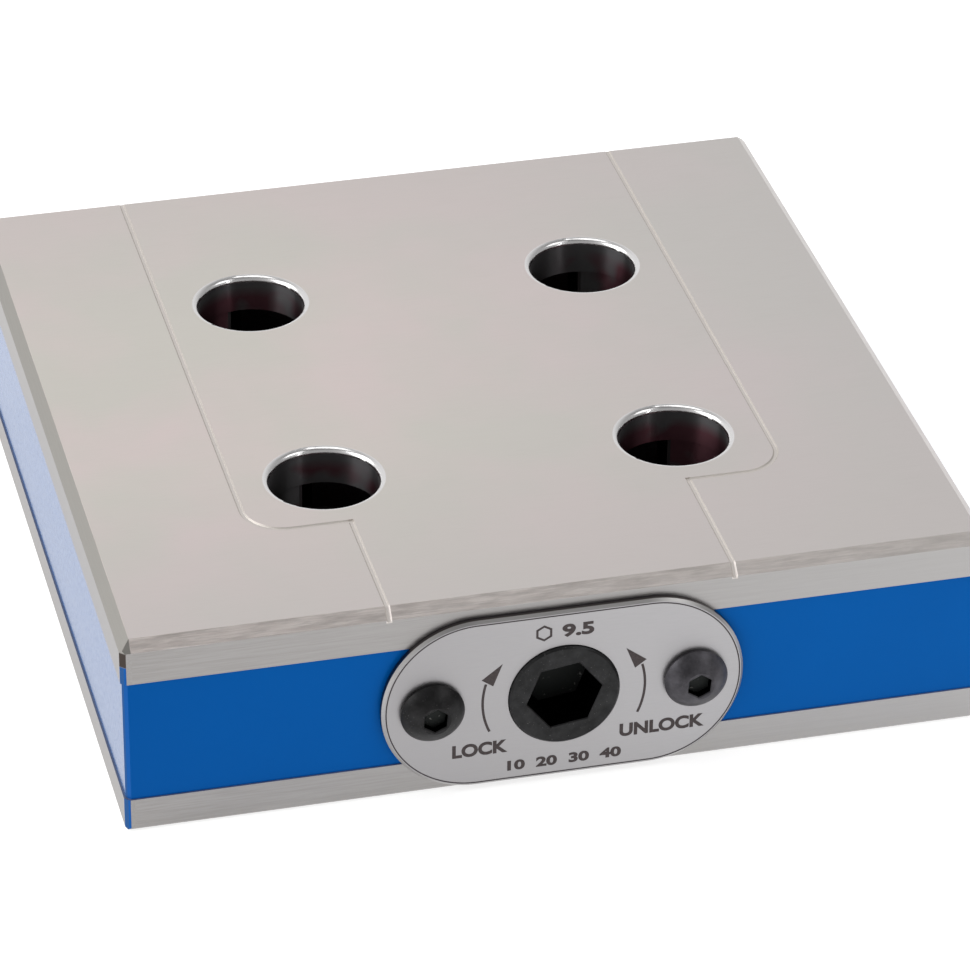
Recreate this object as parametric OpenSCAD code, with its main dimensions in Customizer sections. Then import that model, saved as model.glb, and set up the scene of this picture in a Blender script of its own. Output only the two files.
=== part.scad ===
// Quick-change clamping module: a square plate that takes four clamping studs on a 52 mm square.
// A screw in the front face pulls a two-step wedge forward, and the wedge drives two slides
// outwards against the studs. It is drawn unlocked, with the four stud bores free.
// The origin is the middle of the bore square on the underside.
// X runs along the front, Y from the front to the back, and Z up.

/* [Plate] */
// Width along the front
body_w = 125; // [118:1:150]
// Depth from the front to the back
body_d = 125; // [118:1:150]
// Height from the underside to the clamping face
body_h = 31; // [31:0.5:36]
// Bevel round the clamping face
top_bevel = 1.5; // [0.5:0.1:2]
// Bevel down the four upright corners
corner_bevel = 0.7; // [0.4:0.1:2]
// Bevel round the underside
foot_bevel = 0.5; // [0.3:0.1:1]
// Height of the lower edge of the coloured band
band_z = 5.2; // [3:0.1:7]
// Height of the coloured band
band_h = 19.2; // [14:0.1:21]
// Depth of the band's recess
band_depth = 0.25; // [0.1:0.05:0.5]

/* [Stud bores] */
// Distance between neighbouring stud bores
stud_pitch = 52; // [50:0.5:54]
// Diameter of the stud bores
bore_d = 16; // [15:0.1:17]
// Rounding of the bore mouths
mouth_r = 0.85; // [0.4:0.05:1.2]
// Thickness of the roof above the mechanism, where the bores are full circles
roof_t = 5.7; // [5:0.1:7]
// How much wider the bores are below the roof, all round
bore_relief = 0.3; // [0.1:0.05:0.6]

/* [Setting lines] */
// Distance from the middle to the long lines
line_x = 39.4; // [37:0.1:42]
// Distance from the middle to the cross lines
line_y = 38.3; // [37:0.1:42]
// Distance from the middle to the short lines that reach the front edge
line_front_x = 24.8; // [20:0.1:28]
// Radius of the outer corners
line_corner_r = 6; // [4:0.5:9]
// Width of the lines
line_w = 0.8; // [0.5:0.05:1]
// Depth of the lines
line_depth = 0.2; // [0.1:0.05:0.24]

/* [Drive screw] */
// Height of the screw's axis
drive_z = 14.4; // [14:0.1:15]
// Width across the flats of the hexagon socket
hex_af = 9.525; // [8:0.005:10]
// Depth of the hexagon socket
hex_depth = 7; // [5:0.5:8]
// Turn of the hexagon's corner above the horizontal
hex_turn = 8.3; // [0:0.1:30]
// Diameter of the head that shows in the front plate
head_d = 16; // [14:0.1:17]
// How far the head stands out of the front plate
head_proud = 0.5; // [0.1:0.1:1]
// Diameter of the counterbore that holds the collar
collar_bore_d = 19; // [18.6:0.1:19]
// Length of the collar
collar_l = 4.8; // [4:0.1:6]
// Diameter of the journal
journal_d = 13; // [12.5:0.1:13.5]
// Diameter of the thread
thread_d = 12; // [10:0.1:12]
// Pitch of the thread
thread_pitch = 1.75; // [1.25:0.25:2]
// Length of the thread
thread_l = 42; // [36:1:44]

/* [Bush, washer and seal] */
// Outer diameter of the bearing bush
bush_d = 17; // [16:0.1:17.5]
// Thickness of the thrust washer
washer_t = 1.95; // [1.5:0.05:2.5]
// Thickness of the seal ring's cord
seal_cord = 1.4; // [1.2:0.05:1.6]
// Width of the seal's groove
seal_groove_w = 1.8; // [1.7:0.1:2.2]

/* [Wedge and slides] */
// Travel of each slide, from free to clamped
slide_travel = 1.5; // [1:0.1:1.6]
// Slope of the wedge's sides
wedge_angle = 15; // [14:0.5:18]
// Length of each step of the wedge
step_l = 20; // [16:1:21]
// Width of each step at its narrow end
step_w = 18.8; // [18.4:0.1:19.4]
// Width of the neck between the steps
neck_w = 15; // [14.6:0.1:15.2]
// Width of the slide's arm beyond each stud
arm_w = 4; // [3.6:0.1:5]
// Thickness of the lip that grips the stud's groove
lip_t = 4.25; // [3:0.05:5]
// How much deeper the slide's pocket for the stud's head is than its lip
lip_undercut = 1.7; // [1.6:0.1:1.8]

/* [Return springs] */
// Outer diameter of the springs
spring_d = 4.6; // [4:0.1:5]
// Diameter of the spring wire
wire_d = 0.7; // [0.5:0.05:0.8]
// Number of turns
spring_turns = 7; // [5:1:8]
// Distance from the middle to the springs
spring_y = 6.5; // [5.5:0.1:6.6]
// Depth of the spring pockets in the slides
spring_pocket = 12; // [8:0.5:13]

/* [Bottom cover] */
// Thickness of the cover
cover_t = 4.5; // [4:0.1:5]
// How far the cover lies above the underside
cover_sink = 0.3; // [0.1:0.1:0.5]
// Width of the cover's rim outside the mechanism's pocket
cover_rim = 10; // [9:0.1:10.4]
// Width of the gasket
gasket_w = 1.6; // [1.2:0.1:2]
// Thickness of the gasket
gasket_t = 1.2; // [0.8:0.1:1.5]
// Diameter of the cover's screws
cover_screw_d = 4; // [3:0.5:4]
// Length of the cover's screws
cover_screw_l = 10; // [8:1:11]
// Distance between the screws of the front and the rear row
cover_screw_x = 40; // [38:1:44]
// Distance between the screws of each side row
cover_screw_y = 28; // [24:1:28]
// Diameter of the cover's dowels
cover_dowel_d = 4; // [3:0.5:4]
// Length of the cover's dowels
cover_dowel_l = 10; // [8:0.5:12]

/* [Front plate] */
// Width of the front plate
plate_w = 52.4; // [50:0.2:54]
// Height of the front plate
plate_h = 27.5; // [26:0.1:28]
// Thickness of the front plate
plate_t = 1.2; // [1:0.1:2]
// Bevel round the front plate
plate_bevel = 0.4; // [0.2:0.1:0.6]
// Distance between the front plate's screws
plate_screw_pitch = 38.1; // [37:0.1:39]
// Diameter of the front plate's screws
plate_screw_d = 4.8; // [4:0.1:5]
// Length of the front plate's screws under the head
plate_screw_l = 12; // [8:1:16]
// Diameter of their heads
button_d = 9.2; // [8.5:0.1:9.6]
// Height of their heads
button_h = 2.8; // [2.4:0.1:3]
// Width across the flats of their sockets
button_hex_af = 3.2; // [2.5:0.1:3.4]
// Depth of their sockets
button_hex_depth = 1.4; // [1.2:0.1:1.6]
// Turn of their sockets' corners above the horizontal
button_hex_turn = 25; // [0:1:30]

/* [Underside] */
// Distance between neighbouring fixing holes
foot_pitch = 96; // [94:0.5:98]
// Diameter of the tapped fixing holes
foot_thread_d = 10; // [8:0.5:12]
// Depth of the tapped fixing holes
foot_thread_depth = 18; // [12:1:20]
// Diameter of the two dowel bores
foot_dowel_d = 10; // [8:0.5:12]
// Depth of the two dowel bores
foot_dowel_depth = 12; // [8:1:16]
// Bevel round the mouths of the fixing holes and dowel bores
foot_hole_bevel = 0.5; // [0.3:0.1:1.2]

/* [Hidden] */
$fn = 64;
cut = 1;

// Clearances
sliding_gap = 0.05;
axial_gap = 0.05;
thread_gap = 0.05;
seat_gap = 0.1;
collar_gap = 0.08;
retaining_gap = 0.2;
head_gap = 0.1;
fixed_thread_gap = 0.02;
grip_gap = 0.4;
spring_gap = 0.3;
cover_hole_gap = 0.15;
countersink_gap = 0.05;
dowel_end_gap = 0.2;
wedge_end_gap = 1.05;
screw_end_gap = 1;

// Levels
cover_top = cover_sink + cover_t;
roof_z = body_h - roof_t;
slide_low = cover_top + sliding_gap;
slide_high = roof_z - sliding_gap;
spring_z = (slide_low + slide_high) / 2;

// The wedge and the slides
stud = stud_pitch / 2;
wedge_slope = tan(wedge_angle);
wedge_travel = slide_travel / wedge_slope;
slide_l = stud_pitch + bore_d + 2 * arm_w;
pocket_w = stud_pitch + 2 * slide_travel + 2 * sliding_gap;
pocket_d = slide_l + 2 * sliding_gap;
pocket_r = 3;
step_clearance = 0.5;
rear_end = pocket_d / 2 - wedge_end_gap;
rear_start = rear_end - step_l;
front_start = wedge_travel - stud - step_l / 2;
front_end = front_start + step_l;
step_deep_w = step_w + 2 * step_l * wedge_slope;
bore_grip_r = bore_d / 2 + grip_gap;
neck_gap = 0.3;
slide_neck = neck_w / 2 + neck_gap;

// The cover
cover_w = pocket_w + 2 * cover_rim;
cover_d = pocket_d + 2 * cover_rim;
cover_corner_r = 5;
gasket_inset = 1.2;
screw_row = cover_rim - 4;
cover_head_r = cover_screw_d;

// The screws' heads: bevel at the mouth of their sockets, and the button head's two edges,
// where its bevelled seat ends and where its dome begins
hex_lead = 0.15;
button_seat_bevel = 0.4;
button_dome_start = 0.7;

// Along the drive screw, measured on Y
front_face = -body_d / 2;
plate_front = front_face - plate_t;
head_front = plate_front - head_proud;
collar_front = front_face + retaining_gap;
collar_back = collar_front + collar_l;
washer_front = collar_back + axial_gap;
counterbore_floor = washer_front + washer_t;
bush_inset = 1.4;
bush_back = -pocket_d / 2 - bush_inset;
thread_overlap = 0.5;
thread_start = bush_back - thread_overlap;
thread_end = thread_start + thread_l;
wedge_bore_end = thread_end + wedge_travel + screw_end_gap;
journal_r = journal_d / 2;
thread_depth = 0.65 * thread_pitch;
thread_relief = 2 * thread_pitch;
collar_r = collar_bore_d / 2 - collar_gap;
seal_r = collar_bore_d / 2 - 0.03 - seal_cord / 2;
seal_groove_r = seal_r - seal_cord / 2 - 0.02;

// Lays a shape that is built along Z along +Y, at the height of the drive
module along_y(x, y) {
    translate([x, y, drive_z]) rotate([-90, 0, 0]) children();
}

module rounded_rect(w, d, r) {
    square([w - 2 * r, d], center = true);
    square([w, d - 2 * r], center = true);
    for (sx = [-1, 1], sy = [-1, 1])
        translate([sx * (w / 2 - r), sy * (d / 2 - r)]) circle(r);
}

module at_studs() {
    for (sx = [-1, 1], sy = [-1, 1])
        translate([sx * stud, sy * stud, 0]) children();
}

// Side view of the plate: a rectangle of this width with bevelled corners
module bevelled_side(w) {
    polygon([
        [-w / 2 + foot_bevel, 0], [w / 2 - foot_bevel, 0], [w / 2, foot_bevel],
        [w / 2, body_h - top_bevel], [w / 2 - top_bevel, body_h],
        [-w / 2 + top_bevel, body_h], [-w / 2, body_h - top_bevel], [-w / 2, foot_bevel]]);
}

// Plan of the plate, smaller all round by inset
module bevelled_plan(inset) {
    w = body_w / 2 - inset;
    d = body_d / 2 - inset;
    b = corner_bevel;
    polygon([
        [-w + b, -d], [w - b, -d], [w, -d + b], [w, d - b],
        [w - b, d], [-w + b, d], [-w, d - b], [-w, -d + b]]);
}

module plate_block() {
    intersection() {
        linear_extrude(body_h) bevelled_plan(0);
        rotate([90, 0, 0]) linear_extrude(body_d + cut, center = true) bevelled_side(body_w);
        rotate([90, 0, 90]) linear_extrude(body_w + cut, center = true) bevelled_side(body_d);
    }
}

module band_recess() {
    translate([0, 0, band_z]) linear_extrude(band_h) difference() {
        square([body_w + 2 * cut, body_d + 2 * cut], center = true);
        bevelled_plan(band_depth);
    }
}

// One stud bore, with its rounded mouth and the wider stretch below the roof
module stud_bore() {
    r = bore_d / 2;
    rotate_extrude() {
        translate([0, roof_z - cut]) square([r, body_h - roof_z + 2 * cut]);
        difference() {
            translate([0, body_h - mouth_r]) square([r + mouth_r, mouth_r + cut]);
            translate([r + mouth_r, body_h - mouth_r]) circle(mouth_r);
        }
    }
    translate([0, 0, cover_top]) cylinder(h = roof_z - cover_top, r = r + bore_relief);
}

// The mechanism's pocket and the seat of the bottom cover
module mechanism_pocket() {
    translate([0, 0, -cut]) linear_extrude(roof_z + cut) rounded_rect(pocket_w, pocket_d, pocket_r);
    translate([0, 0, -cut]) linear_extrude(cover_top + cut)
        rounded_rect(cover_w + 2 * seat_gap, cover_d + 2 * seat_gap, cover_corner_r + seat_gap);
}

// Profile of a scribed line: a shallow groove with sloping sides, its surface at zero
module line_profile() {
    w = line_w / 2;
    polygon([
        [-w - cut, cut], [line_depth - w, -line_depth],
        [w - line_depth, -line_depth], [w + cut, cut]]);
}

// One scribed line along Y, at x from y0 to y1
module line_along_y(x, y0, y1) {
    translate([x, y1, body_h]) rotate([90, 0, 0]) linear_extrude(y1 - y0) line_profile();
}

// The scribed lines on the right half of the clamping face, and the notch in the front bevel
module setting_lines() {
    corner_x = line_x - line_corner_r;
    corner_y = line_corner_r - line_y;
    line_along_y(line_x, corner_y, body_d / 2 + cut);
    translate([corner_x, corner_y, body_h]) rotate([0, 0, -90]) rotate_extrude(angle = 90)
        translate([line_corner_r, 0]) line_profile();
    translate([line_front_x - line_w / 2, -line_y, body_h]) rotate([90, 0, 90])
        linear_extrude(corner_x - line_front_x + line_w / 2) line_profile();
    line_along_y(line_front_x, -body_d / 2 - cut, line_w / 2 - line_y);
    translate([line_front_x, (top_bevel - body_d) / 2, body_h - top_bevel / 2]) rotate([135, 0, 0])
        linear_extrude(3 * top_bevel, center = true) line_profile();
}

// The drive screw's holes in the front wall
module drive_bores() {
    along_y(0, front_face - cut) cylinder(h = counterbore_floor - front_face + cut, d = collar_bore_d);
    along_y(0, front_face) cylinder(h = -pocket_d / 2 - front_face + cut, d = bush_d);
    for (s = [-1, 1])
        along_y(s * plate_screw_pitch / 2, front_face - cut)
            cylinder(h = plate_screw_l + 2 * cut, d = plate_screw_d);
}

// The positions of the cover's screws
module at_cover_screws() {
    for (s = [-1, 1]) {
        for (x = [-1, 1] * cover_screw_x / 2)
            translate([x, s * (pocket_d / 2 + screw_row), cover_sink]) children();
        for (y = [-1, 1] * cover_screw_y / 2)
            translate([s * (pocket_w / 2 + screw_row), y, cover_sink]) children();
    }
}

module at_cover_dowel(s) {
    translate([s * (pocket_w / 2 + screw_row), 0, cover_sink]) children();
}

// The fixing holes and dowel bores on the underside
module foot_holes() {
    for (sx = [-1, 1], sy = [-1, 1])
        translate([sx * foot_pitch / 2, sy * foot_pitch / 2, 0]) {
            bevelled_hole(foot_thread_d, foot_thread_depth);
            translate([0, 0, foot_thread_depth])
                cylinder(h = foot_thread_d / 4, d1 = foot_thread_d, d2 = 0);
        }
    for (sx = [-1, 1])
        translate([sx * foot_pitch / 2, 0, 0]) bevelled_hole(foot_dowel_d, foot_dowel_depth);
}

// A round hole up from the underside, bevelled at its mouth
module bevelled_hole(d, depth) {
    translate([0, 0, -cut]) cylinder(h = depth + cut, d = d);
    translate([0, 0, -cut])
        cylinder(h = cut + foot_hole_bevel, r1 = d / 2 + foot_hole_bevel + cut, r2 = d / 2);
}

// A hexagon socket down from the origin's plane, bevelled at its mouth, with its corner turned
// above the horizontal once it is laid along Y
module hexagon_socket(af, depth, turn) {
    r = af / cos(30) / 2;
    rotate([0, 0, -turn]) {
        translate([0, 0, -cut]) cylinder(h = depth + cut, r = r, $fn = 6);
        translate([0, 0, -cut])
            cylinder(h = cut + hex_lead, r1 = r + hex_lead + cut, r2 = r, $fn = 6);
    }
}

module module_body() {
    color([0.76, 0.74, 0.73]) difference() {
        plate_block();
        band_recess();
        at_studs() stud_bore();
        mechanism_pocket();
        setting_lines();
        mirror([1, 0, 0]) setting_lines();
        drive_bores();
        at_cover_screws() cylinder(h = cover_screw_l + cut, d = cover_screw_d);
        for (s = [-1, 1])
            at_cover_dowel(s) cylinder(h = cover_dowel_l, d = cover_dowel_d);
        foot_holes();
    }
}

// A plate with half-round ends, standing on its back with its front bevelled
module round_ended_plate(w, h, t, b) {
    r = h / 2;
    half = [[0, 0], [r, 0], [r, t - b], [r - b, t], [0, t]];
    for (s = [0, 180])
        rotate([0, 0, s]) translate([w / 2 - r, 0, 0]) rotate([0, 0, -90])
            rotate_extrude(angle = 180) polygon(half);
    rotate([90, 0, 90]) linear_extrude(w - h, center = true)
        polygon([[-r, 0], [r, 0], [r, t - b], [r - b, t], [b - r, t], [-r, t - b]]);
}

module front_plate() {
    color([0.68, 0.68, 0.70]) difference() {
        translate([0, front_face, drive_z]) rotate([90, 0, 0])
            round_ended_plate(plate_w, plate_h, plate_t, plate_bevel);
        along_y(0, plate_front - cut) cylinder(h = plate_t + 2 * cut, d = head_d + 2 * head_gap);
        for (s = [-1, 1])
            along_y(s * plate_screw_pitch / 2, plate_front - cut)
                cylinder(h = plate_t + 2 * cut, d = plate_screw_d + seat_gap);
    }
}

// A button head screw, its head's seat at the origin and its point up +Z
module button_screw() {
    rim = button_dome_start;
    flat_r = button_hex_af / sqrt(3) + 2 * hex_lead;
    head_r = button_d / 2;
    dome_z = (head_r * head_r + rim * rim - flat_r * flat_r - button_h * button_h) / (2 * (button_h - rim));
    dome_r = sqrt(flat_r * flat_r + (button_h + dome_z) * (button_h + dome_z));
    difference() {
        union() {
            rotate_extrude() intersection() {
                polygon([
                    [0, 0], [head_r - button_seat_bevel, 0], [head_r, -button_seat_bevel],
                    [head_r, -button_h], [0, -button_h]]);
                translate([0, dome_z]) circle(dome_r, $fn = 96);
            }
            cylinder(h = plate_t + plate_screw_l, d = plate_screw_d - 2 * fixed_thread_gap);
        }
        translate([0, 0, -button_h]) hexagon_socket(button_hex_af, button_hex_depth, button_hex_turn);
    }
}

module front_plate_screw(s) {
    color([0.16, 0.16, 0.17]) along_y(s * plate_screw_pitch / 2, plate_front) button_screw();
}

module front_plate_screw_left() {
    front_plate_screw(-1);
}

module front_plate_screw_right() {
    front_plate_screw(1);
}

// The drive screw's outline, radius against distance from its front
module drive_screw_outline() {
    chamfer = 0.3;
    head_l = collar_front - head_front;
    polygon([
        [0, 0], [head_d / 2 - chamfer, 0], [head_d / 2, chamfer], [head_d / 2, head_l],
        [collar_r, head_l],
        [collar_r, head_l + (collar_l - seal_groove_w) / 2],
        [seal_groove_r, head_l + (collar_l - seal_groove_w) / 2],
        [seal_groove_r, head_l + (collar_l + seal_groove_w) / 2],
        [collar_r, head_l + (collar_l + seal_groove_w) / 2],
        [collar_r, head_l + collar_l],
        [journal_r, head_l + collar_l],
        [journal_r, thread_start - head_front],
        [thread_d / 2 - thread_depth, thread_start - head_front],
        [thread_d / 2 - thread_depth, thread_start - head_front + thread_relief],
        [thread_d / 2, thread_start - head_front + thread_relief + thread_depth],
        [thread_d / 2, thread_end - head_front - thread_depth],
        [thread_d / 2 - thread_depth, thread_end - head_front],
        [0, thread_end - head_front]]);
}

module drive_screw() {
    color([0.14, 0.14, 0.15]) along_y(0, head_front) difference() {
        rotate_extrude() drive_screw_outline();
        hexagon_socket(hex_af, hex_depth, hex_turn);
    }
}

module bearing_bush() {
    color([0.72, 0.55, 0.25]) along_y(0, counterbore_floor) difference() {
        cylinder(h = bush_back - counterbore_floor, d = bush_d);
        translate([0, 0, -cut])
            cylinder(h = bush_back - counterbore_floor + 2 * cut, r = journal_r + sliding_gap);
    }
}

module thrust_washer() {
    color([0.72, 0.55, 0.25]) along_y(0, washer_front) difference() {
        cylinder(h = washer_t, r = collar_r);
        translate([0, 0, -cut]) cylinder(h = washer_t + 2 * cut, r = journal_r + 0.2);
    }
}

module seal_ring() {
    color([0.08, 0.08, 0.08]) along_y(0, (collar_front + collar_back) / 2)
        rotate_extrude() translate([seal_r, 0]) circle(d = seal_cord);
}

// Plan of the wedge: two steps that widen towards the rear, joined by a neck
module wedge_plan() {
    rear_neck = rear_start - (step_w - neck_w) / 2 / wedge_slope;
    right = [
        [step_w / 2, front_start], [step_deep_w / 2, front_end], [neck_w / 2, front_end],
        [neck_w / 2, rear_neck], [step_deep_w / 2, rear_end]];
    left = [for (i = [len(right) - 1 : -1 : 0]) [-right[i][0], right[i][1]]];
    polygon(concat(right, left));
}

module drive_wedge() {
    color([0.45, 0.45, 0.47]) difference() {
        translate([0, 0, slide_low]) linear_extrude(slide_high - slide_low) wedge_plan();
        along_y(0, front_start - cut)
            cylinder(h = wedge_bore_end - front_start + cut, r = thread_d / 2 + thread_gap);
    }
}

// Where the slide's two sloping faces lie at y, beside the steps that start at y0
function face_x(y, y0) = step_w / 2 + (y - y0) * wedge_slope + sliding_gap;

// Plan of the right slide: toothed inside, rounded outside
module slide_plan() {
    end_y = slide_l / 2;
    tooth = front_end + step_clearance;
    meet = rear_start + (slide_neck - sliding_gap - step_w / 2) / wedge_slope;
    corner = pocket_r + 0.5;
    intersection() {
        polygon([
            [face_x(-end_y, front_start), -end_y], [stud, -end_y], [stud, end_y],
            [face_x(end_y, rear_start), end_y], [slide_neck, meet], [slide_neck, tooth],
            [face_x(tooth, front_start), tooth]]);
        rounded_rect(stud_pitch, slide_l, corner);
    }
}

// What one stud takes out of the slide: the lip's half bore, its sloping underside and the head's pocket
module stud_grip() {
    lip_low = slide_high - lip_t;
    deep_r = bore_grip_r + lip_undercut;
    translate([0, 0, lip_low - cut]) cylinder(h = lip_t + 2 * cut, r = bore_grip_r);
    translate([0, 0, lip_low - lip_undercut]) cylinder(h = lip_undercut, r1 = deep_r, r2 = bore_grip_r);
    translate([0, 0, slide_low - cut])
        cylinder(h = lip_low - lip_undercut - slide_low + cut, r = deep_r);
}

module clamp_slide_right() {
    color([0.30, 0.30, 0.32]) difference() {
        translate([0, 0, slide_low]) linear_extrude(slide_high - slide_low) slide_plan();
        for (s = [-1, 1]) {
            translate([stud, s * stud, 0]) stud_grip();
            translate([stud - spring_pocket, s * spring_y, spring_z]) rotate([0, 90, 0])
                cylinder(h = spring_pocket + cut, r = spring_d / 2 + spring_gap);
        }
    }
}

module clamp_slide_left() {
    mirror([1, 0, 0]) clamp_slide_right();
}

// A coil spring along Z, swept as rings of points round a helix
module coil_spring(l) {
    sides = 8;
    per_turn = 16;
    steps = spring_turns * per_turn;
    coil_r = (spring_d - wire_d) / 2;
    rise = (l - wire_d) / steps;
    ring = [for (i = [0 : steps], k = [0 : sides - 1])
        let (turn = i * 360 / per_turn, a = k * 360 / sides, r = coil_r + wire_d / 2 * cos(a))
        [r * cos(turn), r * sin(turn), wire_d / 2 + i * rise + wire_d / 2 * sin(a)]];
    walls = [for (i = [0 : steps - 1], k = [0 : sides - 1])
        let (n = (k + 1) % sides)
        [i * sides + k, (i + 1) * sides + k, (i + 1) * sides + n, i * sides + n]];
    first = [for (k = [0 : sides - 1]) k];
    last = [for (k = [sides - 1 : -1 : 0]) steps * sides + k];
    polyhedron(points = ring, faces = concat([first], walls, [last]), convexity = 10);
}

module return_spring(sx, sy) {
    l = pocket_w / 2 - (stud - spring_pocket) - 2 * axial_gap;
    color([0.6, 0.6, 0.62])
        translate([sx * (pocket_w / 2 - axial_gap), sy * spring_y, spring_z])
            rotate([0, -90 * sx, 0]) coil_spring(l);
}

module return_spring_left_front() {
    return_spring(-1, -1);
}

module return_spring_left_rear() {
    return_spring(-1, 1);
}

module return_spring_right_front() {
    return_spring(1, -1);
}

module return_spring_right_rear() {
    return_spring(1, 1);
}

// The gasket's plan, a ring round the pocket
module gasket_plan(extra) {
    difference() {
        rounded_rect(pocket_w + 2 * (gasket_inset + gasket_w + extra),
            pocket_d + 2 * (gasket_inset + gasket_w + extra), pocket_r + gasket_inset + gasket_w);
        rounded_rect(pocket_w + 2 * (gasket_inset - extra),
            pocket_d + 2 * (gasket_inset - extra), pocket_r + gasket_inset);
    }
}

module bottom_cover() {
    color([0.55, 0.55, 0.57]) difference() {
        translate([0, 0, cover_sink]) linear_extrude(cover_t)
            rounded_rect(cover_w, cover_d, cover_corner_r);
        translate([0, 0, cover_top - gasket_t]) linear_extrude(gasket_t + cut) gasket_plan(0.1);
        at_cover_screws() {
            translate([0, 0, -cut])
                cylinder(h = cover_t + 2 * cut, r = cover_screw_d / 2 + cover_hole_gap);
            translate([0, 0, -cut])
                cylinder(h = cover_head_r + cut, r1 = cover_head_r + countersink_gap + cut,
                    r2 = countersink_gap);
        }
        for (s = [-1, 1])
            at_cover_dowel(s) translate([0, 0, -cut]) cylinder(h = cover_t + 2 * cut, d = cover_dowel_d);
    }
}

module cover_gasket() {
    color([0.1, 0.1, 0.1]) translate([0, 0, cover_top - gasket_t])
        linear_extrude(gasket_t) gasket_plan(0);
}

// A countersunk screw, its head flush with the origin's plane and its point up +Z
module countersunk_screw() {
    shank_r = cover_screw_d / 2 - fixed_thread_gap;
    point = 0.5;
    socket_depth = 0.4 * cover_screw_d;
    socket_r = 0.36 * cover_screw_d;
    difference() {
        rotate_extrude() polygon([
            [0, 0], [cover_head_r, 0], [shank_r, cover_head_r - shank_r],
            [shank_r, cover_screw_l - point], [shank_r - point, cover_screw_l], [0, cover_screw_l]]);
        translate([0, 0, -cut]) cylinder(h = cut + socket_depth, r = socket_r, $fn = 6);
    }
}

module bottom_cover_screws() {
    color([0.16, 0.16, 0.17]) at_cover_screws() countersunk_screw();
}

module cover_dowel(s) {
    color([0.7, 0.7, 0.72]) at_cover_dowel(s) cylinder(h = cover_dowel_l - dowel_end_gap, d = cover_dowel_d);
}

module cover_dowel_left() {
    cover_dowel(-1);
}

module cover_dowel_right() {
    cover_dowel(1);
}

module_body();
front_plate();
front_plate_screw_left();
front_plate_screw_right();
drive_screw();
bearing_bush();
thrust_washer();
seal_ring();
drive_wedge();
clamp_slide_left();
clamp_slide_right();
return_spring_left_front();
return_spring_left_rear();
return_spring_right_front();
return_spring_right_rear();
bottom_cover();
cover_gasket();
bottom_cover_screws();
cover_dowel_left();
cover_dowel_right();
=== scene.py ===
import math
import bpy
from mathutils import Matrix, Vector


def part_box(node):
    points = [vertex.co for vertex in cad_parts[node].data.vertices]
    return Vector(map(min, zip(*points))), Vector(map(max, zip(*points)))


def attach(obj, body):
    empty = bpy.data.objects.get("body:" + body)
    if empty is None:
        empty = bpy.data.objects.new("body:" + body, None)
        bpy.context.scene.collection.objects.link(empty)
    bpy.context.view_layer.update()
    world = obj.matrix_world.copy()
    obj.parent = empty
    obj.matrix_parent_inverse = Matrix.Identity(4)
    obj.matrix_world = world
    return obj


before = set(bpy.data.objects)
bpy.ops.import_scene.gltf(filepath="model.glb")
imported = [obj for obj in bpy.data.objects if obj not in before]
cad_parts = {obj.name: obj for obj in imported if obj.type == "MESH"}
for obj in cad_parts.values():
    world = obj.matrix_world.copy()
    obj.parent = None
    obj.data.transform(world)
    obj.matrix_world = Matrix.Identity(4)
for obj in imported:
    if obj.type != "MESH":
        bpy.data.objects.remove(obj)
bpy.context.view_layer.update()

# Looks for a quick-change clamping module. Places and sizes are in millimetres and are
# turned into metres where a piece is made.
MM = 0.001

# The plate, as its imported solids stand
BODY_LOW, BODY_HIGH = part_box("module_body")
PLATE_LOW, PLATE_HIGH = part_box("front_plate")
TOP_Z = BODY_HIGH[2] / MM
SIDE_X = BODY_HIGH[0] / MM
FACE_Y = PLATE_LOW[1] / MM
DRIVE_Z = (PLATE_LOW[2] + PLATE_HIGH[2]) / 2 / MM
PLATE_W = (PLATE_HIGH[0] - PLATE_LOW[0]) / MM
PLATE_H = (PLATE_HIGH[2] - PLATE_LOW[2]) / MM
PLATE_T = (PLATE_HIGH[1] - PLATE_LOW[1]) / MM
SCREW_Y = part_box("drive_screw")[0][1] / MM
BUTTON_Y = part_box("front_plate_screw_left")[0][1] / MM

# Sizes that the materials and the print share
BAND_LOW = 5.2
BAND_HIGH = 24.4
CORNER_BEVEL = 0.7
TOP_BEVEL = 1.5
PAINTED_CORNER_TOP = 27.2
STUD = 26.0
BORE_R = 8.0
MOUTH_R = 0.85
LINE_FRONT_X = 24.8
LINE_W = 0.8
PLATE_EDGE = 0.52
PLATE_BEVEL = 0.4
BUTTON_X = 19.05
HEX_DEPTH = 7.0
HEX_R = 5.6
BUTTON_HEX_DEPTH = 1.4
BUTTON_HEX_R = 1.95
PRINT_T = 0.02
ARROW_R = 11.75
ARROW_W = 0.37

# The mechanism's pocket inside the plate
POCKET_LOW = 4.9
POCKET_HIGH = TOP_Z - 5.75
POCKET_X = 28.0
POCKET_Y = 39.0


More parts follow.
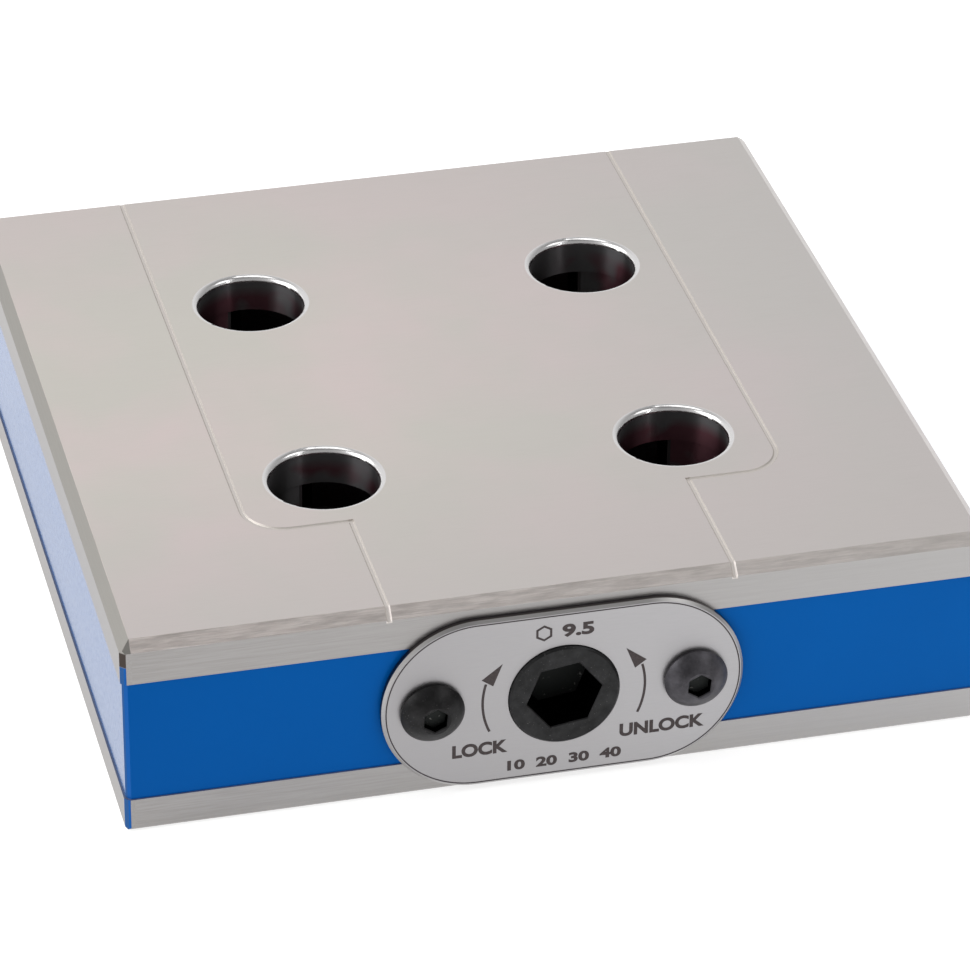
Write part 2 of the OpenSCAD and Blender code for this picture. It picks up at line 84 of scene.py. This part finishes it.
class Shader:
    """A material built node by node. Its places are the object's own, in millimetres."""

    def __init__(self, name):
        self.material = bpy.data.materials.new(name)
        self.material.use_nodes = True
        self.nodes = self.material.node_tree.nodes
        self.links = self.material.node_tree.links
        self.surface = self.nodes["Principled BSDF"]
        own = self.nodes.new("ShaderNodeTexCoord").outputs["Object"]
        self.place = self.times(own, (1 / MM, 1 / MM, 1 / MM))
        parts = self.nodes.new("ShaderNodeSeparateXYZ")
        self.links.new(self.place, parts.inputs[0])
        self.x, self.y, self.z = parts.outputs

    def put(self, socket, value):
        if isinstance(value, bpy.types.NodeSocket):
            self.links.new(value, socket)
        else:
            socket.default_value = value

    def set(self, **values):
        for name, value in values.items():
            self.put(self.surface.inputs[name.replace("_", " ")], value)

    def math(self, kind, a, b=0.0, c=0.0):
        node = self.nodes.new("ShaderNodeMath")
        node.operation = kind
        for socket, value in zip(node.inputs, (a, b, c)):
            self.put(socket, value)
        return node.outputs[0]

    def times(self, place, factors):
        node = self.nodes.new("ShaderNodeVectorMath")
        node.operation = "MULTIPLY"
        self.put(node.inputs[0], place)
        self.put(node.inputs[1], factors)
        return node.outputs["Vector"]

    def join(self, x, y, z):
        node = self.nodes.new("ShaderNodeCombineXYZ")
        for socket, value in zip(node.inputs, (x, y, z)):
            self.put(socket, value)
        return node.outputs[0]

    def stretched(self, x, y, z):
        """The place with each axis multiplied, so that a noise on it runs in streaks."""
        return self.times(self.place, (x, y, z))

    def noise(self, place, scale, detail=3.0, roughness=0.5):
        node = self.nodes.new("ShaderNodeTexNoise")
        self.put(node.inputs["Vector"], place)
        self.put(node.inputs["Scale"], scale)
        self.put(node.inputs["Detail"], detail)
        self.put(node.inputs["Roughness"], roughness)
        return node.outputs["Fac"]

    def ramp(self, value, low, high, at_low=0.0, at_high=1.0):
        """A straight run from at_low to at_high while the value goes from low to high."""
        node = self.nodes.new("ShaderNodeMapRange")
        node.clamp = True
        for socket, number in zip(node.inputs, (value, low, high, at_low, at_high)):
            self.put(socket, number)
        return node.outputs[0]

    def over(self, value, edge, soft=0.02):
        return self.ramp(value, edge - soft, edge + soft)

    def under(self, value, edge, soft=0.02):
        return self.ramp(value, edge - soft, edge + soft, 1.0, 0.0)

    def both(self, *masks):
        total = masks[0]
        for mask in masks[1:]:
            total = self.math("MULTIPLY", total, mask)
        return total

    def either(self, a, b):
        return self.math("MAXIMUM", a, b)

    def blend(self, mask, a, b):
        """Colour a where the mask is 0 and colour b where it is 1."""
        node = self.nodes.new("ShaderNodeMix")
        node.data_type = "RGBA"
        self.put(node.inputs["Factor"], mask)
        first, second = [socket for socket in node.inputs if socket.type == "RGBA"]
        self.put(first, (*a, 1.0) if isinstance(a, tuple) else a)
        self.put(second, (*b, 1.0) if isinstance(b, tuple) else b)
        return [socket for socket in node.outputs if socket.type == "RGBA"][0]

    def fade(self, value, start, end, most, colour, other):
        """The colour, turned into the other by up to most as the value goes from start to end."""
        return self.blend(self.ramp(value, start, end, 0.0, most), colour, other)

    def level(self, mask, a, b):
        """Number a where the mask is 0 and number b where it is 1."""
        node = self.nodes.new("ShaderNodeMix")
        self.put(node.inputs["Factor"], mask)
        self.put(node.inputs["A"], a)
        self.put(node.inputs["B"], b)
        return node.outputs["Result"]

    def bump(self, height, strength, distance=MM):
        node = self.nodes.new("ShaderNodeBump")
        self.put(node.inputs["Height"], height)
        self.put(node.inputs["Strength"], strength)
        self.put(node.inputs["Distance"], distance)
        self.put(self.surface.inputs["Normal"], node.outputs["Normal"])

    def reach(self, a, b):
        """Distance from the origin of the plane with these two coordinates."""
        squares = self.math("ADD", self.math("POWER", a, 2.0), self.math("POWER", b, 2.0))
        return self.math("SQRT", squares)


def plate_areas(s):
    """Masks of the plate's surfaces: each is 1 on its own surface and 0 off it."""
    ax, ay = s.math("ABSOLUTE", s.x), s.math("ABSOLUTE", s.y)
    edge = s.math("MAXIMUM", ax, ay)
    bevel_start = SIDE_X - TOP_BEVEL
    bevel_foot = TOP_Z - TOP_BEVEL
    bore = s.reach(s.math("SUBTRACT", ax, STUD), s.math("SUBTRACT", ay, STUD))
    mouth_foot = TOP_Z - MOUTH_R

    groove = s.both(
        s.under(s.z, TOP_Z - 0.015, 0.01), s.over(s.z, TOP_Z - 0.3),
        s.over(bore, BORE_R + MOUTH_R + 0.05), s.under(edge, bevel_start - 0.05))
    from_line = s.math("ABSOLUTE", s.math("SUBTRACT", ax, LINE_FRONT_X))
    up_bevel = s.math("SUBTRACT", s.z, s.y)
    bevel_plane = TOP_Z + bevel_start
    notch = s.both(
        s.under(from_line, LINE_W / 2 + 0.03),
        s.under(up_bevel, bevel_plane - 0.03, 0.02), s.over(up_bevel, bevel_plane - 0.4, 0.02))

    band = s.both(
        s.over(s.z, BAND_LOW, 0.03), s.under(s.z, BAND_HIGH, 0.03), s.over(edge, SIDE_X - 1.2))
    corner = s.over(s.math("ADD", ax, ay), 2 * SIDE_X - CORNER_BEVEL - 0.1, 0.03)
    painted_corner = s.both(corner, s.under(s.z, PAINTED_CORNER_TOP, 0.1))
    return {
        "sides": s.over(ax, bevel_start - 0.1),
        "rim": s.both(s.over(edge, bevel_start - 0.05), s.under(s.x, bevel_start)),
        "right_face": s.both(s.over(s.x, SIDE_X - 0.1), s.under(s.z, bevel_foot)),
        "bevel": s.both(s.over(s.z, bevel_foot, 0.04), s.under(s.x, bevel_start)),
        "bore": s.both(s.under(bore, BORE_R + 0.6), s.under(s.z, mouth_foot, 0.04)),
        "mouth": s.both(s.under(bore, BORE_R + MOUTH_R + 0.02), s.over(s.z, mouth_foot, 0.04)),
        "line": s.either(groove, notch),
        "line_floor": s.either(s.under(s.z, TOP_Z - 0.15, 0.02), notch),
        "paint": s.either(band, painted_corner),
        # Painted reflection: the bare upper part of the corner bevel, coloured near black.
        "bare_corner_shade": s.both(
            corner, s.over(s.z, PAINTED_CORNER_TOP, 0.1), s.under(s.z, bevel_foot, 0.1)),
        "pocket": s.both(
            s.over(s.z, POCKET_LOW), s.under(s.z, POCKET_HIGH),
            s.under(ax, POCKET_X), s.under(ay, POCKET_Y)),
    }


def ground_steel_with_painted_shade(s, area, grain, streaks):
    """The plate's steel: warm and cool clouds on top, with painted shade towards the right, front and
    back, and the bevels and edge faces in their own tones of it as painted light and shade.
    """
    warmth = s.noise(s.join(s.x, s.y, 40.0), 0.022, 3.0, 0.6)
    steel = s.blend(s.ramp(warmth, 0.40, 0.60), (0.665, 0.638, 0.591), (0.728, 0.634, 0.620))
    # Painted shade: the top turns darker towards the right, the front and the back.
    steel = s.fade(s.x, -20.0, SIDE_X, 0.75, steel, (0.577, 0.551, 0.545))
    steel = s.fade(s.y, -20.0, -SIDE_X, 0.75, steel, (0.597, 0.565, 0.550))
    steel = s.fade(s.y, 20.0, SIDE_X, 0.5, steel, (0.600, 0.570, 0.550))
    steel = s.blend(s.ramp(grain, 0.30, 0.45, 0.10, 0.0), steel, (0.40, 0.37, 0.36))

    # Painted shade: the edge faces are a darker copy of the steel, painted lighter towards the right.
    face = s.blend(streaks, (0.292, 0.279, 0.271), (0.354, 0.341, 0.334))
    face = s.fade(s.x, -SIDE_X, SIDE_X, 0.55, face, (0.485, 0.476, 0.472))

    smear_across = s.noise(s.stretched(0.12, 1.0, 1.0), 1.4, 4.0, 0.65)
    smear_along = s.noise(s.stretched(1.0, 0.12, 1.0), 1.4, 4.0, 0.65)
    smear = s.level(area["sides"], smear_across, smear_along)
    # Painted light and shade: the bevels get their own tone, darker towards the right, and the left
    # side's bevel is darker still.
    bevel = s.blend(streaks, (0.750, 0.673, 0.638), (0.910, 0.840, 0.805))
    bevel = s.fade(smear, 0.40, 0.65, 0.65, bevel, (0.490, 0.444, 0.420))
    bevel = s.fade(s.x, -SIDE_X, SIDE_X, 0.55, bevel, (0.410, 0.400, 0.385))
    bevel = s.blend(s.under(s.x, TOP_BEVEL - SIDE_X), bevel, (0.335, 0.322, 0.300))

    rim = s.blend(area["bevel"], face, bevel)
    steel = s.blend(area["rim"], steel, rim)
    return s.blend(area["right_face"], steel, rim)


def bore_wall_painted_shade(s):
    """Wall painted near black as painted shade, with a faint painted red reflection here and there
    below the mouth.
    """
    red_reflection = s.ramp(s.noise(s.place, 0.11, 2.0), 0.44, 0.54)
    red_reflection = s.both(red_reflection, s.under(s.z, TOP_Z - 2.6, 0.9))
    return s.blend(red_reflection, (0.135, 0.131, 0.135), (0.130, 0.056, 0.068))


def blue_paint_with_shade(s):
    cloud = s.noise(s.place, 0.035, 3.0, 0.55)
    paint = s.blend(s.ramp(cloud, 0.35, 0.65), (0.0, 0.091, 0.362), (0.0, 0.098, 0.384))
    # Painted shade: the paint turns darker towards the left, and the left side's band is a darker,
    # greyer copy of the paint.
    paint = s.fade(s.x, 0.0, -SIDE_X, 0.5, paint, (0.0, 0.070, 0.292))
    return s.blend(s.under(s.x, 0.5 - SIDE_X), paint, (0.018, 0.082, 0.240))


def plate_steel():
    """Ground steel plate with a blue band, polished bore mouths, bores and pocket painted dark as
    painted shade, and scribed lines whose slopes are painted darker as painted shade.
    """
    s = Shader("ground_steel_with_blue_band")
    area = plate_areas(s)
    grain_across = s.noise(s.stretched(0.03, 1.0, 1.0), 5.0, 4.0, 0.6)
    grain_along = s.noise(s.stretched(1.0, 0.03, 1.0), 5.0, 4.0, 0.6)
    grain = s.level(area["sides"], grain_across, grain_along)
    streaks = s.ramp(grain, 0.35, 0.65)
    # Painted shade: the scribed lines' slopes are darker than their floors.
    scribed = s.blend(area["line_floor"], (0.585, 0.550, 0.510), (0.70, 0.66, 0.63))

    colour = ground_steel_with_painted_shade(s, area, grain, streaks)
    # Painted reflection: the bare upper corner bevel is near black, standing in for the dark
    # surroundings it reflects.
    colour = s.blend(area["bare_corner_shade"], colour, (0.060, 0.048, 0.042))
    colour = s.blend(area["line"], colour, scribed)
    colour = s.blend(area["mouth"], colour, (0.72, 0.71, 0.71))
    # Painted shade in the bores, with a faint painted red reflection.
    colour = s.blend(area["bore"], colour, bore_wall_painted_shade(s))
    # Painted shade: the mechanism's pocket inside the plate is near black.
    colour = s.blend(area["pocket"], colour, (0.070, 0.062, 0.064))
    colour = s.blend(area["paint"], colour, blue_paint_with_shade(s))

    peel = s.noise(s.place, 1.4, 2.0)
    rough = s.level(streaks, 0.36, 0.46)
    rough = s.level(area["mouth"], rough, 0.20)
    rough = s.level(area["bore"], rough, 0.35)
    rough = s.level(area["line"], rough, 0.6)
    rough = s.level(area["paint"], rough, s.ramp(peel, 0.3, 0.7, 0.16, 0.22))

    s.set(Base_Color=colour, Roughness=rough)
    s.set(Metallic=s.math("SUBTRACT", 1.0, area["paint"]))
    s.surface.inputs["IOR"].default_value = 1.45
    s.set(Anisotropic=area["bore"], Tangent=s.join(0.0, 0.0, 1.0))
    s.set(Specular_Tint=s.blend(area["paint"], (1.0, 1.0, 1.0), (0.0, 0.25, 0.95)))
    relief = s.level(area["paint"], s.math("MULTIPLY", grain, 0.6), s.math("MULTIPLY", peel, 0.35))
    s.bump(relief, 0.06, 0.05 * MM)
    return s.material


def brushed_plate():
    """Front plate: fine brushed stainless steel, with a bright bevel, painted shade darkening the
    face towards the left, and a cut edge painted dark as painted shade, darkest towards the body.
    """
    s = Shader("brushed_stainless_plate")
    brush = s.noise(s.stretched(0.05, 1.0, 1.0), 7.0, 4.0, 0.65)
    cloud = s.noise(s.place, 0.09, 2.0)
    face = s.blend(s.ramp(brush, 0.3, 0.7), (0.422, 0.415, 0.422), (0.494, 0.486, 0.495))
    face = s.fade(cloud, 0.3, 0.7, 0.35, face, (0.47, 0.46, 0.47))
    # Painted shade: the face turns darker towards the left.
    face = s.blend(s.ramp(s.x, -PLATE_W / 2, 16.0, 0.62, 0.25), face, (0.320, 0.308, 0.313))
    bevel = s.over(s.y, FACE_Y + 0.03, 0.02)
    # Painted shade: the cut edge round the plate is dark, darkest where it meets the body.
    shaded_cut_edge = s.over(s.y, FACE_Y + PLATE_BEVEL + 0.02, 0.03)
    colour = s.blend(bevel, face, (0.40, 0.39, 0.385))
    depth = s.ramp(s.y, FACE_Y + PLATE_BEVEL, FACE_Y + PLATE_T)
    side = s.blend(depth, (0.16, 0.14, 0.135), (0.05, 0.045, 0.05))
    colour = s.blend(shaded_cut_edge, colour, side)
    rough = s.ramp(brush, 0.3, 0.7, 0.38, 0.50)
    rough = s.level(bevel, rough, 0.34)
    s.set(Base_Color=colour, Roughness=rough)
    s.surface.inputs["Metallic"].default_value = 1.0
    s.bump(brush, 0.05, 0.04 * MM)
    return s.material


def black_oxide(name, tint, axis_x, worn, socket_r=0.0, mouth_y=0.0, floor_y=0.0):
    """Blackened steel, turned about an axis along Y at axis_x and rubbed lighter here and there.
    A socket of radius socket_r runs in from mouth_y; its walls are painted near black as painted
    shade down to its lighter floor at floor_y."""
    s = Shader(name)
    away = s.reach(s.math("SUBTRACT", s.x, axis_x), s.math("SUBTRACT", s.z, DRIVE_Z))
    rings = s.noise(s.join(away, 0.0, 0.0), 6.0, 3.0, 0.6)
    blotch = s.noise(s.place, 0.55, 4.0, 0.6)
    fleck = s.noise(s.place, 5.5, 2.0, 0.5)
    dark, light, inner = [tuple(factor * part for part in tint) for factor in (0.72, 1.35, 0.04)]
    colour = s.blend(s.ramp(blotch, 0.35, 0.68), dark, light)
    colour = s.fade(fleck, 0.70, 0.76, worn, colour, (0.30, 0.29, 0.29))
    rough = s.math("ADD", s.ramp(blotch, 0.3, 0.7, 0.28, 0.40), s.ramp(rings, 0.3, 0.7, 0.0, 0.06))
    # Painted shade: the socket's walls are near black.
    inside = s.both(s.under(away, socket_r), s.over(s.y, mouth_y + 0.2, 0.05))
    on_floor = s.both(inside, s.over(s.y, floor_y - 0.06))
    colour = s.blend(inside, colour, inner)
    speck = s.ramp(s.noise(s.place, 1.6, 3.0, 0.6), 0.64, 0.72)
    colour = s.blend(on_floor, colour, s.blend(speck, (0.030, 0.032, 0.031), (0.20, 0.20, 0.19)))
    # Painted shade: reflections inside the socket are dulled by the specular tint.
    edge = s.blend(inside, (1.0, 1.0, 1.0), (0.1, 0.1, 0.1))
    s.set(Base_Color=colour, Roughness=s.level(inside, rough, 0.6), Specular_Tint=edge)
    s.surface.inputs["Metallic"].default_value = 0.85
    s.bump(s.math("ADD", s.math("MULTIPLY", rings, 0.5), fleck), 0.05, 0.05 * MM)
    return s.material


def worked_metal(name, dark, light, rough, stretch=(0.06, 1.0, 1.0)):
    """A machined metal that hides inside: fine streaks one way over a soft variation."""
    s = Shader(name)
    streak = s.noise(s.stretched(*stretch), 5.0, 3.0, 0.6)
    cloud = s.noise(s.place, 0.12, 2.0)
    mix = s.math("ADD", s.math("MULTIPLY", streak, 0.6), s.math("MULTIPLY", cloud, 0.4))
    s.set(Base_Color=s.blend(s.ramp(mix, 0.38, 0.62), dark, light),
          Roughness=s.ramp(streak, 0.3, 0.7, rough - 0.05, rough + 0.06))
    s.surface.inputs["Metallic"].default_value = 1.0
    s.bump(streak, 0.06, 0.05 * MM)
    return s.material


def rubber(name):
    s = Shader(name)
    pores = s.noise(s.place, 6.0, 3.0)
    s.set(Base_Color=s.blend(pores, (0.010, 0.010, 0.011), (0.028, 0.027, 0.028)),
          Roughness=s.ramp(pores, 0.3, 0.7, 0.55, 0.75))
    s.bump(pores, 0.15, 0.05 * MM)
    return s.material


def printed_ink(name, colour):
    """Etched dark print: slightly uneven, dull."""
    s = Shader(name)
    s.surface.inputs["Specular IOR Level"].default_value = 0.2
    uneven = s.noise(s.place, 3.0, 3.0)
    thin = tuple(1.5 * part for part in colour)
    s.set(Base_Color=s.blend(s.ramp(uneven, 0.35, 0.75), colour, thin),
          Roughness=s.ramp(uneven, 0.3, 0.7, 0.45, 0.6))
    return s.material


def dress(node, material):
    slots = bpy.data.objects[node].material_slots
    for slot in slots:
        slot.material = material


def clear_selection():
    if bpy.context.object and bpy.context.object.mode != "OBJECT":
        bpy.ops.object.mode_set(mode="OBJECT")
    bpy.ops.object.select_all(action="DESELECT")


def lay_on_plate(piece, name, material, x, z):
    """Stands a flat piece, built in millimetres on the ground, against the plate's face."""
    clear_selection()
    piece.select_set(True)
    bpy.context.view_layer.objects.active = piece
    piece.rotation_euler = (math.radians(90), 0, 0)
    piece.scale = (MM, MM, MM)
    piece.location = (x * MM, FACE_Y * MM, z * MM)
    bpy.ops.object.transform_apply(location=True, rotation=True, scale=True)
    piece.name = name
    piece.data.name = name
    piece.data.materials.clear()
    piece.data.materials.append(material)
    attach(piece, "housing")
    return piece


def raise_sheet(thick=PRINT_T):
    """Turns the flat sheet in edit mode into a thin solid with its normals outwards."""
    bpy.ops.mesh.select_all(action="SELECT")
    bpy.ops.mesh.extrude_region_move(TRANSFORM_OT_translate={"value": (0, 0, thick)})
    bpy.ops.mesh.select_all(action="SELECT")
    bpy.ops.mesh.normals_make_consistent(inside=False)
    bpy.ops.object.mode_set(mode="OBJECT")


def keep_faces(piece, wanted):
    """Deletes the faces whose middle the test turns down, and goes back to edit mode."""
    bpy.ops.object.mode_set(mode="OBJECT")
    for part in (piece.data.vertices, piece.data.edges, piece.data.polygons):
        part.foreach_set("select", [False] * len(part))
    for face in piece.data.polygons:
        face.select = not wanted(face.center)
    bpy.ops.object.mode_set(mode="EDIT")
    bpy.ops.mesh.select_mode(type="FACE")
    bpy.ops.mesh.delete(type="FACE")


def plate_outline(material):
    """The fine dark line where the plate's face meets its bevel."""
    radius = PLATE_H / 2 - PLATE_EDGE
    shift = (PLATE_W - PLATE_H) / 2
    count = 128
    clear_selection()
    bpy.ops.mesh.primitive_circle_add(
        vertices=count, radius=radius, fill_type="NGON", rotation=(0, 0, math.pi / count))
    piece = bpy.context.object
    bpy.ops.object.transform_apply(rotation=True)
    for vertex in piece.data.vertices:
        vertex.co.x += math.copysign(shift, vertex.co.x)
    bpy.ops.object.mode_set(mode="EDIT")
    bpy.ops.mesh.select_mode(type="FACE")
    bpy.ops.mesh.select_all(action="SELECT")
    bpy.ops.mesh.inset(thickness=0.18, depth=0)
    bpy.ops.mesh.delete(type="FACE")
    raise_sheet()
    return lay_on_plate(piece, "front_plate_outline", material, 0, DRIVE_Z)


def arrow(name, side, material):
    """A curved arrow round the screw: its shaft is an arc, its head a triangle on the end."""
    below, above = math.radians(-24.0), math.radians(16.5)
    inner, outer = ARROW_R - ARROW_W / 2, ARROW_R + ARROW_W / 2
    clear_selection()
    bpy.ops.mesh.primitive_circle_add(vertices=360, radius=inner, fill_type="NOTHING")
    shaft = bpy.context.object
    bpy.ops.object.mode_set(mode="EDIT")
    bpy.ops.mesh.select_all(action="SELECT")
    bpy.ops.mesh.extrude_edges_move()
    bpy.ops.transform.resize(value=(outer / inner, outer / inner, 1))

    def on_arc(middle):
        return below <= math.atan2(middle.y, side * middle.x) <= above

    keep_faces(shaft, on_arc)
    raise_sheet()
    shaft = lay_on_plate(shaft, name + "_shaft", material, 0, DRIVE_Z)

    tip = Vector((-8.92, 6.27))
    base = [Vector((-11.92, 3.97)), Vector((-10.25, 2.77))]
    middle = (tip + base[0] + base[1]) / 3
    clear_selection()
    bpy.ops.mesh.primitive_circle_add(vertices=3, radius=1, fill_type="NGON")
    head = bpy.context.object
    for vertex, point in zip(head.data.vertices, [tip] + base):
        vertex.co = ((point.x - middle.x) * -side, point.y - middle.y, 0)
    bpy.ops.object.mode_set(mode="EDIT")
    raise_sheet()
    head = lay_on_plate(head, name + "_head", material, -side * middle.x, DRIVE_Z + middle.y)
    return shaft, head


def legend(name, words, width, height, x, base_z, material):
    """Plain print on the plate, scaled to a width and a height."""
    clear_selection()
    bpy.ops.object.text_add(location=(0, 0, 0))
    piece = bpy.context.object
    piece.data.body = words
    piece.data.offset = 0.042
    piece.data.extrude = 0.01
    piece.data.resolution_u = 6
    bpy.ops.object.convert(target="MESH")
    piece = bpy.context.object
    low = Vector((min(v.co[i] for v in piece.data.vertices) for i in range(3)))
    high = Vector((max(v.co[i] for v in piece.data.vertices) for i in range(3)))
    size = high - low
    fit = Matrix.Diagonal((width / size.x, height / size.y, PRINT_T / size.z, 1.0))
    piece.data.transform(fit @ Matrix.Translation(-low - Vector((size.x / 2, 0, 0))))
    return lay_on_plate(piece, name, material, x, base_z)


def hexagon_sign(name, x, z, across, material):
    """A small hexagon outline, the usual sign for a hexagon socket."""
    clear_selection()
    bpy.ops.mesh.primitive_circle_add(
        vertices=6, radius=across / math.sqrt(3), fill_type="NGON")
    piece = bpy.context.object
    bpy.ops.object.mode_set(mode="EDIT")
    bpy.ops.mesh.select_all(action="SELECT")
    bpy.ops.mesh.inset(thickness=0.32, depth=0)
    bpy.ops.mesh.delete(type="FACE")
    raise_sheet()
    return lay_on_plate(piece, name, material, x, z)


def plate_print():
    ink = printed_ink("etched_print", (0.050, 0.040, 0.040))
    line = printed_ink("etched_outline", (0.042, 0.035, 0.037))
    plate_outline(line)
    arrow("lock_arrow", -1, ink)
    arrow("unlock_arrow", 1, ink)
    legend("lock_print", "LOCK", 8.0, 2.2, -12.1, DRIVE_Z - 8.65, ink)
    legend("unlock_print", "UNLOCK", 12.4, 2.2, 14.4, DRIVE_Z - 8.65, ink)
    hexagon_sign("hexagon_print", -3.0, DRIVE_Z + 10.5, 2.3, ink)
    legend("hexagon_size_print", "9.5", 4.6, 2.15, 1.9, DRIVE_Z + 9.42, ink)
    legend("scale_print", "10  20  30  40", 16.6, 1.7, 0.2, DRIVE_Z - 11.92, ink)


def area_light(name, spot, size, watts):
    """A soft rectangular light that points at the module."""
    data = bpy.data.lights.new(name, "AREA")
    data.shape = "RECTANGLE"
    data.size, data.size_y = size
    data.energy = watts
    lamp = bpy.data.objects.new(name, data)
    bpy.context.scene.collection.objects.link(lamp)
    lamp.location = spot
    lamp.rotation_mode = "QUATERNION"
    lamp.rotation_quaternion = (-Vector(spot)).to_track_quat("-Z", "Y")


def studio():
    world = bpy.data.worlds.new("soft_studio")
    world.use_nodes = True
    nodes, links = world.node_tree.nodes, world.node_tree.links
    glow = nodes["Background"]
    glow.inputs["Color"].default_value = (1.0, 1.0, 1.0, 1.0)
    way = nodes.new("ShaderNodeTexCoord").outputs["Generated"]

    def fall(towards, low, high, at_low, at_high):
        """A smooth change of brightness across the sky along one direction."""
        along = nodes.new("ShaderNodeVectorMath")
        along.operation = "DOT_PRODUCT"
        links.new(way, along.inputs[0])
        along.inputs[1].default_value = towards
        change = nodes.new("ShaderNodeMapRange")
        change.interpolation_type = "SMOOTHSTEP"
        links.new(along.outputs["Value"], change.inputs["Value"])
        for socket, value in zip(change.inputs[1:5], (low, high, at_low, at_high)):
            socket.default_value = value
        return change.outputs[0]

    both = nodes.new("ShaderNodeMath")
    both.operation = "MULTIPLY"
    links.new(fall((-0.6, 0.8, 0.0), -0.5, 0.6, 0.45, 0.95), both.inputs[0])
    links.new(fall((0.0, 0.0, 1.0), 0.55, 0.9, 1.0, 0.55), both.inputs[1])
    links.new(both.outputs[0], glow.inputs["Strength"])
    bpy.context.scene.world = world
    area_light("left_softbox", (-1.2, 0.1, 0.7), (1.2, 1.0), 10.0)
    area_light("right_softbox", (0.9, -0.55, 1.1), (0.7, 0.7), 2.5)
    area_light("right_strip", (0.70, -0.97, 0.45), (0.04, 0.8), 0.6)
    area_light("overhead_softbox", (-0.1, 0.1, 1.3), (0.7, 0.7), 2.4)

    clear_selection()
    bpy.ops.mesh.primitive_plane_add(size=40)
    floor = bpy.context.object
    floor.name = "floor"
    s = Shader("pale_floor")
    s.set(Base_Color=s.blend(s.noise(s.place, 0.004, 2.0), (0.54, 0.54, 0.54), (0.58, 0.58, 0.58)))
    s.surface.inputs["Roughness"].default_value = 0.85
    s.surface.inputs["Specular IOR Level"].default_value = 0.1
    s.surface.inputs["Emission Color"].default_value = (1.0, 1.0, 1.0, 1.0)
    s.surface.inputs["Emission Strength"].default_value = 0.72
    floor.data.materials.append(s.material)
    floor.location = (0, 0, -0.0001)
    bpy.ops.object.transform_apply(location=True)


def photo_camera():
    """The photograph's camera: solved from the stud bores and the plate's edges."""
    data = bpy.data.cameras.new("photo_camera")
    data.sensor_width = 36
    data.lens = 192.94
    data.clip_start = 0.05
    data.clip_end = 100
    camera = bpy.data.objects.new("photo_camera", data)
    bpy.context.scene.collection.objects.link(camera)
    right = Vector((0.9708467, -0.2395917, 0.0072442))
    down = Vector((-0.1197283, -0.5108884, -0.8512686))
    ahead = Vector((0.2076579, 0.8255840, -0.5246802))
    turn = Matrix((right, -down, -ahead)).transposed().to_4x4()
    spot = Vector((-0.15854, -0.64758, 0.42142))
    camera.matrix_world = Matrix.Translation(spot) @ turn
    bpy.context.scene.camera = camera


def dress_solids():
    dress("module_body", plate_steel())
    dress("front_plate", brushed_plate())
    button = (BUTTON_HEX_R, BUTTON_Y, BUTTON_Y + BUTTON_HEX_DEPTH)
    # Painted light and shade: the two like screws get a darker and a lighter copy of the same finish.
    left = black_oxide("black_oxide_left_shaded_copy", (0.019, 0.0185, 0.019), -BUTTON_X, 0.5, *button)
    right = black_oxide("black_oxide_right_lit_copy", (0.065, 0.062, 0.069), BUTTON_X, 0.3, *button)
    dress("front_plate_screw_left", left)
    dress("front_plate_screw_right", right)
    screw = black_oxide(
        "black_oxide_screw", (0.023, 0.023, 0.0235), 0.0, 0.8, HEX_R, SCREW_Y, SCREW_Y + HEX_DEPTH)
    dress("drive_screw", screw)
    dress("bottom_cover_screws", black_oxide("black_oxide_small", (0.055, 0.052, 0.054), 0.0, 0.4))
    slides = worked_metal("blackened_slide", (0.035, 0.030, 0.032), (0.065, 0.055, 0.058), 0.35)
    dress("clamp_slide_left", slides)
    dress("clamp_slide_right", slides)
    wedge = worked_metal("ground_tool_steel", (0.20, 0.20, 0.21), (0.30, 0.30, 0.31), 0.3)
    dress("drive_wedge", wedge)
    cover = worked_metal("ground_cover_steel", (0.36, 0.35, 0.34), (0.46, 0.45, 0.44), 0.42)
    dress("bottom_cover", cover)
    round_streaks = (1.0, 0.06, 1.0)
    turned = worked_metal("turned_bronze", (0.50, 0.31, 0.12), (0.62, 0.42, 0.18), 0.3, round_streaks)
    dress("bearing_bush", turned)
    dress("thrust_washer", turned)
    seal = rubber("black_seal_rubber")
    dress("seal_ring", seal)
    dress("cover_gasket", seal)
    upright_streaks = (1.0, 1.0, 0.06)
    pin = worked_metal("ground_dowel", (0.52, 0.52, 0.53), (0.64, 0.64, 0.65), 0.25, upright_streaks)
    dress("cover_dowel_left", pin)
    dress("cover_dowel_right", pin)
    wire = worked_metal("drawn_wire", (0.34, 0.34, 0.36), (0.48, 0.48, 0.50), 0.3)
    for side in ("left", "right"):
        for end in ("front", "rear"):
            dress("return_spring_" + side + "_" + end, wire)


bpy.context.scene.view_settings.view_transform = "Standard"
photo_camera()
studio()
dress_solids()
plate_print()
